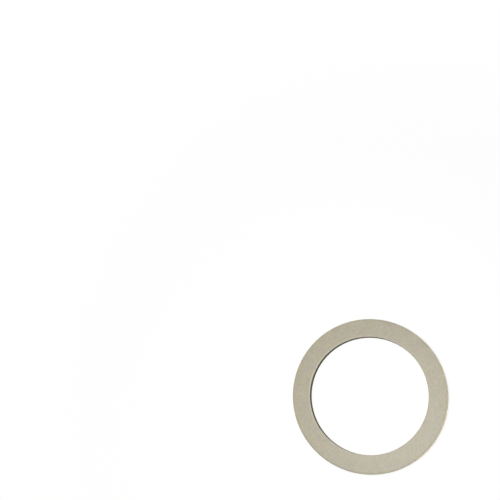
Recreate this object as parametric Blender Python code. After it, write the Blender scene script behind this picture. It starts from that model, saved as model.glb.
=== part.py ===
"""Carafe gasket, a flat sealing ring moulded in one piece from silicone rubber.

Its rectangular section has flat upper and lower sealing faces, straight walls and four rounded
edges. Either face can be the upper one. The ring lies on its lower face, with its axis on the
Z axis and the origin at the centre of the underside.
"""
import math

import bpy

# Sizes in metres
OUTER_DIAMETER = 0.073
FACE_WIDTH = 0.00865
THICKNESS = 0.0035
EDGE_RADIUS = 0.0003

# Fineness of the turned ring and of each rounded edge
RING_SEGMENTS = 144
EDGE_SEGMENTS = 3

# Warm grey silicone: linear colour and surface
SILICONE_COLOR = (0.485, 0.451, 0.352, 1.0)
SILICONE_ROUGHNESS = 0.6


def clear_scene():
    """Remove whatever the scene holds."""
    for item in list(bpy.data.objects):
        bpy.data.objects.remove(item, do_unlink=True)


def silicone():
    """Opaque filled silicone with a dull moulded surface."""
    material = bpy.data.materials.new("silicone")
    material.use_nodes = True
    shader = material.node_tree.nodes["Principled BSDF"]
    shader.inputs["Base Color"].default_value = SILICONE_COLOR
    shader.inputs["Metallic"].default_value = 0.0
    shader.inputs["Roughness"].default_value = SILICONE_ROUGHNESS
    return material


def rounded_section():
    """Outline of the ring's section at +X: down the outer wall, in underneath and up the bore."""
    outer = OUTER_DIAMETER / 2 - EDGE_RADIUS
    inner = OUTER_DIAMETER / 2 - FACE_WIDTH + EDGE_RADIUS
    upper = THICKNESS - EDGE_RADIUS
    lower = EDGE_RADIUS
    quarter_turn = math.pi / 2
    arc_centres = [(outer, upper), (outer, lower), (inner, lower), (inner, upper)]

    points = []
    for corner, (centre_x, centre_z) in enumerate(arc_centres):
        for step in range(EDGE_SEGMENTS + 1):
            angle = quarter_turn * (1 - corner - step / EDGE_SEGMENTS)
            x = centre_x + EDGE_RADIUS * math.cos(angle)
            z = centre_z + EDGE_RADIUS * math.sin(angle)
            points.append((x, 0.0, z))
    return points


def gasket_ring():
    """Turn the section about Z into the whole gasket."""
    points = rounded_section()
    count = len(points)
    edges = [(index, (index + 1) % count) for index in range(count)]
    mesh = bpy.data.meshes.new("gasket_ring")
    mesh.from_pydata(points, edges, [])
    mesh.materials.append(silicone())

    ring = bpy.data.objects.new("gasket_ring", mesh)
    bpy.context.collection.objects.link(ring)

    turn = ring.modifiers.new("Turn section", "SCREW")
    turn.axis = "Z"
    turn.angle = math.tau
    turn.steps = RING_SEGMENTS
    turn.render_steps = RING_SEGMENTS
    turn.use_smooth_shade = True

    # Joins the turn's end to its start, at a distance far under the smallest facet
    turn.use_merge_vertices = True
    turn.merge_threshold = EDGE_RADIUS / 100

    # Keeps the sealing faces and walls flat in shading beside their rounded edges
    ring.modifiers.new("Flat faces", "WEIGHTED_NORMAL")
    return ring


clear_scene()
gasket_ring()
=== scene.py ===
"""Carafe gasket: one flat sealing ring of silicone rubber, loose on a white table."""
import math

import bmesh
import bpy
from mathutils import Matrix, Vector


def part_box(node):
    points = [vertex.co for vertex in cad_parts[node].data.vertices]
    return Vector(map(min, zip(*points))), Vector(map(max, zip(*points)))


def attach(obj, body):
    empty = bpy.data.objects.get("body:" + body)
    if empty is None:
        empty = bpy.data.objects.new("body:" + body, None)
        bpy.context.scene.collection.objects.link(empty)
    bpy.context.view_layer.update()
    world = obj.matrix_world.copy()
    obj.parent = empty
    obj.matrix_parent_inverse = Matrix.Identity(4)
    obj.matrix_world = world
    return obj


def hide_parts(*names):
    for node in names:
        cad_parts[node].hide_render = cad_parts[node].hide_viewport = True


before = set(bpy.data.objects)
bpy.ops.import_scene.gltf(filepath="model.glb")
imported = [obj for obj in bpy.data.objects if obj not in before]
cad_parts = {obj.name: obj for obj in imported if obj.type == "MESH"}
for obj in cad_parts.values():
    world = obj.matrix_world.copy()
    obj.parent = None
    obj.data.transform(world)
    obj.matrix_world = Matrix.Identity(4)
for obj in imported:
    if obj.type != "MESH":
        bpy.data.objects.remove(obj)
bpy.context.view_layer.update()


# The gasket is one ring of warm grey silicone rubber, pressed in a two-part mould and lifted out
# whole. Its section is a rectangle with flat sealing faces, soft lips, rounded edges and a fine
# mould line along each wall. Nothing is fixed to it, and a free ring lies a little out of round.

# Sizes are in metres.
ring_low, ring_high = (Vector(corner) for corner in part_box("gasket_ring"))
OUTER_DIAMETER = ring_high.x - ring_low.x
THICKNESS = ring_high.z - ring_low.z
FACE_WIDTH = 0.00865
EDGE_RADIUS = 0.0002
EDGE_STEPS = 8
LIP_WIDTH = 0.0010
LIP_FALL = 0.0001
FACE_CUTS = 6
MOULD_LINE_HEIGHT = 0.00004
MOULD_LINE_WIDTH = 0.00024
WALL_CUTS = 5
NEAR_WALL = 0.94
NEAR_FACE = 0.80
OUT_OF_ROUND = 0.0003
LONG_AXIS = math.radians(-4)
RING_STEPS = 360
FACE_WEIGHT = 100
SILICONE_GREY = (0.471, 0.427, 0.313)
SILICONE_IOR = 1.41
FACE_ROUGHNESS = 0.38
WALL_ROUGHNESS = 0.95
NOISE_MIDDLE = 0.5
CLOUD_NOISE = {"Scale": 230.0, "Detail": 2.0, "Roughness": 0.5, "Distortion": 0.3}
CLOUD_TINT = (0.10, 0.12, 0.29)
MOTTLE_NOISE = {"Scale": 240.0, "Detail": 4.0, "Roughness": 1.0}
MOTTLE_SHADE = 0.48
MOTTLE_GLOSS = 0.12
GRAIN_NOISE = {"Scale": 2400.0, "Detail": 2.0, "Roughness": 0.6}
GRAIN_SHADE = 0.60
GRAIN_HEIGHT = 0.000015


class Wire:
    """An output socket of a node tree: arithmetic on it adds Math nodes, node() adds any other."""

    def __init__(self, tree, socket=None):
        self.tree = tree
        self.socket = socket

    def node(self, kind, settings=None, sockets=None, output=0):
        made = self.tree.nodes.new(kind)
        for name, value in (settings or {}).items():
            setattr(made, name, value)
        for key, value in (sockets or {}).items():
            if isinstance(value, Wire):
                self.tree.links.new(value.socket, made.inputs[key])
            else:
                made.inputs[key].default_value = value
        return Wire(self.tree, made.outputs[output] if made.outputs else None)

    def output(self, name):
        return Wire(self.tree, self.socket.node.outputs[name])

    def math(self, operation, first, second=0.0):
        return self.node("ShaderNodeMath", {"operation": operation}, {0: first, 1: second})

    def __add__(self, other):
        return self.math("ADD", self, other)

    def __radd__(self, other):
        return self.math("ADD", other, self)

    def __sub__(self, other):
        return self.math("SUBTRACT", self, other)

    def __rsub__(self, other):
        return self.math("SUBTRACT", other, self)

    def __mul__(self, other):
        return self.math("MULTIPLY", self, other)

    def __truediv__(self, other):
        return self.math("DIVIDE", self, other)


def silicone():
    """Silicone clouded by its filler: the pressed faces have a soft sheen, the walls none."""
    material = bpy.data.materials.new("warm_grey_silicone")
    material.use_nodes = True
    tree = material.node_tree
    tree.nodes.clear()
    place = Wire(tree).node("ShaderNodeTexCoord", output="Object")

    cloud = place.node("ShaderNodeTexNoise", None, {"Vector": place, **CLOUD_NOISE}, output="Color")
    mottle = place.node("ShaderNodeTexNoise", None, {"Vector": place, **MOTTLE_NOISE})
    grain = place.node("ShaderNodeTexNoise", None, {"Vector": place, **GRAIN_NOISE})

    centred = place.node("ShaderNodeVectorMath", {"operation": "SUBTRACT"}, {
        0: cloud, 1: (NOISE_MIDDLE, NOISE_MIDDLE, NOISE_MIDDLE)})
    tint = place.node("ShaderNodeVectorMath", {"operation": "MULTIPLY_ADD"}, {
        0: centred, 1: CLOUD_TINT, 2: (1.0, 1.0, 1.0)})
    clouded = place.node("ShaderNodeVectorMath", {"operation": "MULTIPLY"}, {
        0: tint, 1: SILICONE_GREY})
    mottling = mottle - NOISE_MIDDLE
    shade = 1.0 + mottling * MOTTLE_SHADE + (grain - NOISE_MIDDLE) * GRAIN_SHADE
    colour = place.node("ShaderNodeVectorMath", {"operation": "SCALE"}, {
        0: clouded, "Scale": shade})

    height = place.node("ShaderNodeSeparateXYZ", None, {0: place}, output="Z") - ring_low.z
    inset = place.math("MINIMUM", height, THICKNESS - height)
    wall = place.node("ShaderNodeMapRange", {"interpolation_type": "SMOOTHSTEP"}, {
        "Value": inset, "From Min": LIP_FALL, "From Max": LIP_FALL + EDGE_RADIUS})
    roughness = FACE_ROUGHNESS + wall * (WALL_ROUGHNESS - FACE_ROUGHNESS)
    skin = place.node("ShaderNodeBump", None, {
        "Strength": 1.0, "Distance": 1.0, "Height": grain * GRAIN_HEIGHT})

    surface = place.node("ShaderNodeBsdfPrincipled", None, {
        "Base Color": colour,
        "Roughness": roughness + mottling * MOTTLE_GLOSS,
        "Normal": skin,
        "IOR": SILICONE_IOR,
    })
    place.node("ShaderNodeOutputMaterial", None, {"Surface": surface})
    return material


def centre_line(given):
    """A circle half way across the face, drawn out along its long axis and pulled in across it."""
    radius = (given.output("Outer Diameter") - given.output("Face Width")) / 2.0
    line = given.node("GeometryNodeCurvePrimitiveCircle", None, {
        "Resolution": given.output("Steps Round the Ring"), "Radius": radius})
    point = given.node("GeometryNodeInputPosition")
    x = given.node("ShaderNodeSeparateXYZ", None, {0: point}, output="X")
    angle = given.math("ARCTAN2", x.output("Y"), x) - given.output("Long Axis")
    lobe = given.math("COSINE", angle * 2.0)
    draw_out = given.node("ShaderNodeVectorMath", {"operation": "SCALE"}, {
        0: point, "Scale": lobe * given.output("Out of Round") / radius})
    line = given.node("GeometryNodeSetPosition", None, {"Geometry": line, "Offset": draw_out})
    return given.node("GeometryNodeSetCurveNormal", {"mode": "Z_UP"}, {"Curve": line})


def moulded_section(given):
    """The rectangle across the ring, with its lips, its mould lines and its rounded corners."""
    face_width = given.output("Face Width")
    thickness = given.output("Thickness")
    point = given.node("GeometryNodeInputPosition")
    x = given.node("ShaderNodeSeparateXYZ", None, {0: point}, output="X")
    y = x.output("Y")

    # Faces and walls take turns round the rectangle, which is cut up further. The extra points of a
    # face slide out to its two lips, and each lip falls away in a curve to its corner. Inward is 0
    # at the corner and 1 where the lip starts.
    section = given.node("GeometryNodeCurvePrimitiveQuadrilateral", {"mode": "RECTANGLE"}, {
        "Width": face_width, "Height": thickness})
    is_wall = given.math("MODULO", given.node("GeometryNodeInputIndex"), 2.0)
    section = given.node("GeometryNodeSubdivideCurve", None, {
        "Curve": section, "Cuts": is_wall * WALL_CUTS + (1.0 - is_wall) * FACE_CUTS})
    across = given.math("ABSOLUTE", x) * 2.0 / face_width
    inward = (1.0 - across) * ((FACE_CUTS + 1) / FACE_CUTS)
    slide = given.math("SIGN", x) * (face_width / 2.0 - inward * given.output("Lip Width")) - x
    fall = given.math("SIGN", y) * (inward - 1.0) * (1.0 - inward) * given.output("Lip Fall")

    # The extra points of a wall close up on its middle and stand out there, as the mould line. They
    # reach a share of the way to the corners at first, and half the line's width in the end.
    upward = given.math("ABSOLUTE", y) * 2.0 / thickness
    reach = (WALL_CUTS - 1) / (WALL_CUTS + 1)
    rise = given.math("SIGN", x) * (1.0 - upward / reach) * given.output("Mould Line Height")
    closing = y * (given.output("Mould Line Width") / (thickness * reach) - 1.0)

    # A point is near a wall or a face once it is past a set share of the way there from the middle.
    # Only the corners are near both, before the points move and after it.
    near_wall = given.math("GREATER_THAN", across, NEAR_WALL)
    near_face = given.math("GREATER_THAN", upward, NEAR_FACE)
    is_corner = near_wall * near_face
    move = given.node("ShaderNodeCombineXYZ", None, {
        "X": near_face * slide + (1.0 - near_face) * rise,
        "Y": near_face * fall + (1.0 - near_face) * closing,
    })
    section = given.node("GeometryNodeSetPosition", None, {"Geometry": section, "Offset": move})
    return given.node("GeometryNodeFilletCurve", {"mode": "POLY"}, {
        "Curve": section,
        "Count": is_corner * given.output("Steps Round an Edge"),
        "Radius": is_corner * given.output("Edge Radius"),
    })


def ring_sweep():
    """Geometry Nodes that sweep the section round the ring's centre line."""
    tree = bpy.data.node_groups.new("gasket_ring_sweep", "GeometryNodeTree")
    for name, kind in (
        ("Outer Diameter", "NodeSocketFloat"),
        ("Face Width", "NodeSocketFloat"),
        ("Thickness", "NodeSocketFloat"),
        ("Edge Radius", "NodeSocketFloat"),
        ("Lip Width", "NodeSocketFloat"),
        ("Lip Fall", "NodeSocketFloat"),
        ("Mould Line Height", "NodeSocketFloat"),
        ("Mould Line Width", "NodeSocketFloat"),
        ("Out of Round", "NodeSocketFloat"),
        ("Long Axis", "NodeSocketFloat"),
        ("Steps Round the Ring", "NodeSocketInt"),
        ("Steps Round an Edge", "NodeSocketInt"),
        ("Silicone", "NodeSocketMaterial"),
    ):
        tree.interface.new_socket(name, in_out="INPUT", socket_type=kind)
    tree.interface.new_socket("Ring", in_out="OUTPUT", socket_type="NodeSocketGeometry")
    given = Wire(tree).node("NodeGroupInput")

    ring = given.node("GeometryNodeCurveToMesh", None, {
        "Curve": centre_line(given), "Profile Curve": moulded_section(given)})
    lift = given.node("ShaderNodeCombineXYZ", None, {"Z": given.output("Thickness") / 2.0})
    ring = given.node("GeometryNodeSetPosition", None, {"Geometry": ring, "Offset": lift})
    ring = given.node("GeometryNodeSetShadeSmooth", None, {
        "Geometry": ring, "Shade Smooth": True})
    ring = given.node("GeometryNodeRealizeInstances", None, {"Geometry": ring})
    ring = given.node("GeometryNodeSetMaterial", None, {
        "Geometry": ring, "Material": given.output("Silicone")})
    given.node("NodeGroupOutput", None, {"Ring": ring})
    return tree


def swept_ring(sizes):
    """The ring as a plain mesh object, with face-weighted normals so that the faces stay flat."""
    tree = ring_sweep()
    blank = bpy.data.objects.new("gasket_ring_blank", bpy.data.meshes.new("gasket_ring_blank"))
    bpy.context.collection.objects.link(blank)
    sweep = blank.modifiers.new("sweep", "NODES")
    sweep.node_group = tree
    for item in tree.interface.items_tree:
        if item.name in sizes:
            sweep[item.identifier] = sizes[item.name]
    flat_faces = blank.modifiers.new("flat_faces", "WEIGHTED_NORMAL")
    flat_faces.weight = FACE_WEIGHT
    evaluated = blank.evaluated_get(bpy.context.evaluated_depsgraph_get())
    mesh = bpy.data.meshes.new_from_object(evaluated)
    mesh.name = "silicone_ring"
    bpy.data.objects.remove(blank)
    ring = bpy.data.objects.new("silicone_ring", mesh)
    bpy.context.collection.objects.link(ring)
    return ring


silicone_ring = swept_ring({
    "Outer Diameter": OUTER_DIAMETER,
    "Face Width": FACE_WIDTH,
    "Thickness": THICKNESS,
    "Edge Radius": EDGE_RADIUS,
    "Lip Width": LIP_WIDTH,
    "Lip Fall": LIP_FALL,
    "Mould Line Height": MOULD_LINE_HEIGHT,
    "Mould Line Width": MOULD_LINE_WIDTH,
    "Out of Round": OUT_OF_ROUND,
    "Long Axis": LONG_AXIS,
    "Steps Round the Ring": RING_STEPS,
    "Steps Round an Edge": EDGE_STEPS,
    "Silicone": silicone(),
})
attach(silicone_ring, "root")
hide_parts("gasket_ring")


# The table is a plain white sheet that the ring lies flat on. The camera and reflections see it
# white, with the ring's faint contact shadow, and it throws little light back on the walls. It
# is cut out under the ring and clear from behind, so that the underside can be looked at.

TABLE_RADIUS = 4.0
TABLE_STEPS = 96
DISC_RADIUS = 0.0285
SHEET_HOLE_RADIUS = 0.03585
TABLE_DROP = 0.00002
TABLE_BOUNCE = 0.04
TABLE_LIGHT = 0.72
SHADOW_SHARE = 0.28
SHADOW_FADE_START = 0.06
SHADOW_FADE_END = 0.20


def looking(tree):
    """1 for a ray from the camera, also one reflected or let through, and 0 for any other."""
    ray = Wire(tree).node("ShaderNodeLightPath", output="Is Camera Ray")
    looks = ray + ray.output("Is Glossy Ray") + ray.output("Is Transmission Ray")
    return ray.math("MINIMUM", looks, 1.0)


def white_sheet():
    """White to the camera, with a share of real shading near the ring, and dim to the light."""
    material = bpy.data.materials.new("white_sheet")
    material.use_nodes = True
    tree = material.node_tree
    tree.nodes.clear()
    seen = looking(tree)
    place = seen.node("ShaderNodeTexCoord", output="Object")
    distance = seen.node("ShaderNodeVectorMath", {"operation": "LENGTH"}, {0: place}, output="Value")
    far = seen.node("ShaderNodeMapRange", {"interpolation_type": "SMOOTHSTEP"}, {
        "Value": distance, "From Min": SHADOW_FADE_START, "From Max": SHADOW_FADE_END})
    share = (1.0 - far) * SHADOW_SHARE
    grey = seen * share + (1.0 - seen) * TABLE_BOUNCE
    tint = seen.node("ShaderNodeCombineColor", None, {"Red": grey, "Green": grey, "Blue": grey})
    sheet = seen.node("ShaderNodeBsdfDiffuse", None, {"Color": tint})
    glow = seen.node("ShaderNodeEmission", None, {"Strength": seen * (1.0 - share * TABLE_LIGHT)})
    front = seen.node("ShaderNodeAddShader", None, {0: sheet, 1: glow})
    clear = seen.node("ShaderNodeBsdfTransparent")
    behind = seen.node("ShaderNodeNewGeometry", output="Backfacing")
    both = seen.node("ShaderNodeMixShader", None, {0: behind, 1: front, 2: clear})
    both.node("ShaderNodeOutputMaterial", None, {"Surface": both})
    return material


def table_top():
    """A disc inside the bore and a wide sheet round the ring, which covers the gap between."""
    mesh = bmesh.new()
    rounds = []
    for radius in (DISC_RADIUS, SHEET_HOLE_RADIUS, TABLE_RADIUS):
        points = []
        for step in range(TABLE_STEPS):
            angle = math.tau * step / TABLE_STEPS
            x, y = radius * math.cos(angle), radius * math.sin(angle)
            points.append(mesh.verts.new((x, y, ring_low.z - TABLE_DROP)))
        rounds.append(points)
    disc, hole, rim = rounds
    mesh.faces.new(disc)
    for step in range(TABLE_STEPS):
        following = (step + 1) % TABLE_STEPS
        mesh.faces.new((hole[step], rim[step], rim[following], hole[following]))
    sheet = bpy.data.meshes.new("table")
    mesh.to_mesh(sheet)
    mesh.free()
    return sheet


table = bpy.data.objects.new("table", table_top())
table.data.materials.append(white_sheet())
bpy.context.collection.objects.link(table)


# The light is that of a plain studio table: a soft panel overhead, which leaves the ring's walls
# in shade, a soft key from the upper left and a dim room. Two low lamps catch the outer wall and
# the lips, at the right and at the back left, and a third lights the underside.

ROOM_WHITE = (1.0, 1.0, 1.0, 1.0)
ROOM_LIGHT = 0.05
PANEL_PLACE = Vector((-0.016, -0.010, 0.30))
PANEL_WIDTH = 0.14
PANEL_POWER = 0.55
KEY_STRENGTH = 0.38
KEY_FROM = Vector((-0.25, 0.20, 0.85))
KEY_SPREAD = 40.0
RIGHT_STRENGTH = 3.9
RIGHT_FROM = Vector((0.96, -0.28, 0.0022))
RIGHT_SPREAD = 0.3
BACK_STRENGTH = 1.5
BACK_FROM = Vector((-0.76, 0.64, 0.12))
BACK_SPREAD = 16.0
UNDERSIDE_STRENGTH = 2.4
UNDERSIDE_FROM = Vector((0.2, -0.1, -1.0))
UNDERSIDE_SPREAD = 60.0


def sun(name, strength, source, spread):
    """A distant lamp that shines from its source's direction, as wide as its spread in degrees."""
    lamp = bpy.data.lights.new(name, "SUN")
    lamp.energy = strength
    lamp.angle = math.radians(spread)
    holder = bpy.data.objects.new(name, lamp)
    holder.rotation_euler = source.to_track_quat("Z", "Y").to_euler()
    bpy.context.collection.objects.link(holder)
    return holder


world = bpy.data.worlds.new("studio_room")
bpy.context.scene.world = world
world.use_nodes = True
world.node_tree.nodes.clear()
room_seen = looking(world.node_tree)
room = room_seen.node("ShaderNodeBackground", None, {
    "Color": ROOM_WHITE, "Strength": ROOM_LIGHT + room_seen * (1.0 - ROOM_LIGHT)})
room.node("ShaderNodeOutputWorld", None, {"Surface": room})

panel_light = bpy.data.lights.new("overhead_panel", "AREA")
panel_light.shape = "DISK"
panel_light.size = PANEL_WIDTH
panel_light.energy = PANEL_POWER
panel = bpy.data.objects.new("overhead_panel", panel_light)
panel.location = PANEL_PLACE
panel.visible_camera = False
bpy.context.collection.objects.link(panel)

sun("soft_key", KEY_STRENGTH, KEY_FROM, KEY_SPREAD)
sun("right_lamp", RIGHT_STRENGTH, RIGHT_FROM, RIGHT_SPREAD).visible_glossy = False
sun("back_lamp", BACK_STRENGTH, BACK_FROM, BACK_SPREAD).visible_glossy = False
sun("underside_lamp", UNDERSIDE_STRENGTH, UNDERSIDE_FROM, UNDERSIDE_SPREAD)


# The camera hangs 0.4 m above the table with a 60 mm lens, a little to the ring's lower right.
# It points past the ring's upper left, so that the ring lies low down on the picture's right, as
# in the photograph.

CAMERA_PLACE = Vector((0.07283, -0.03393, 0.39780))
CAMERA_AIM = Vector((-0.05975, 0.07652, 0.0))
CAMERA_LENS = 60.0
CAMERA_SENSOR = 36.0
CAMERA_NEAR = 0.01
PICTURE_TOP = Vector((0.0, 1.0, 0.0))

camera_data = bpy.data.cameras.new("camera")
camera_data.lens = CAMERA_LENS
camera_data.sensor_width = CAMERA_SENSOR
camera_data.clip_start = CAMERA_NEAR
camera = bpy.data.objects.new("camera", camera_data)
bpy.context.collection.objects.link(camera)
forward = (CAMERA_AIM - CAMERA_PLACE).normalized()
right = forward.cross(PICTURE_TOP).normalized()
up = right.cross(forward)
turned = Matrix((right, up, -forward)).transposed().to_4x4()
camera.matrix_world = Matrix.Translation(CAMERA_PLACE) @ turned
bpy.context.scene.camera = camera
bpy.context.scene.view_settings.view_transform = "Standard"
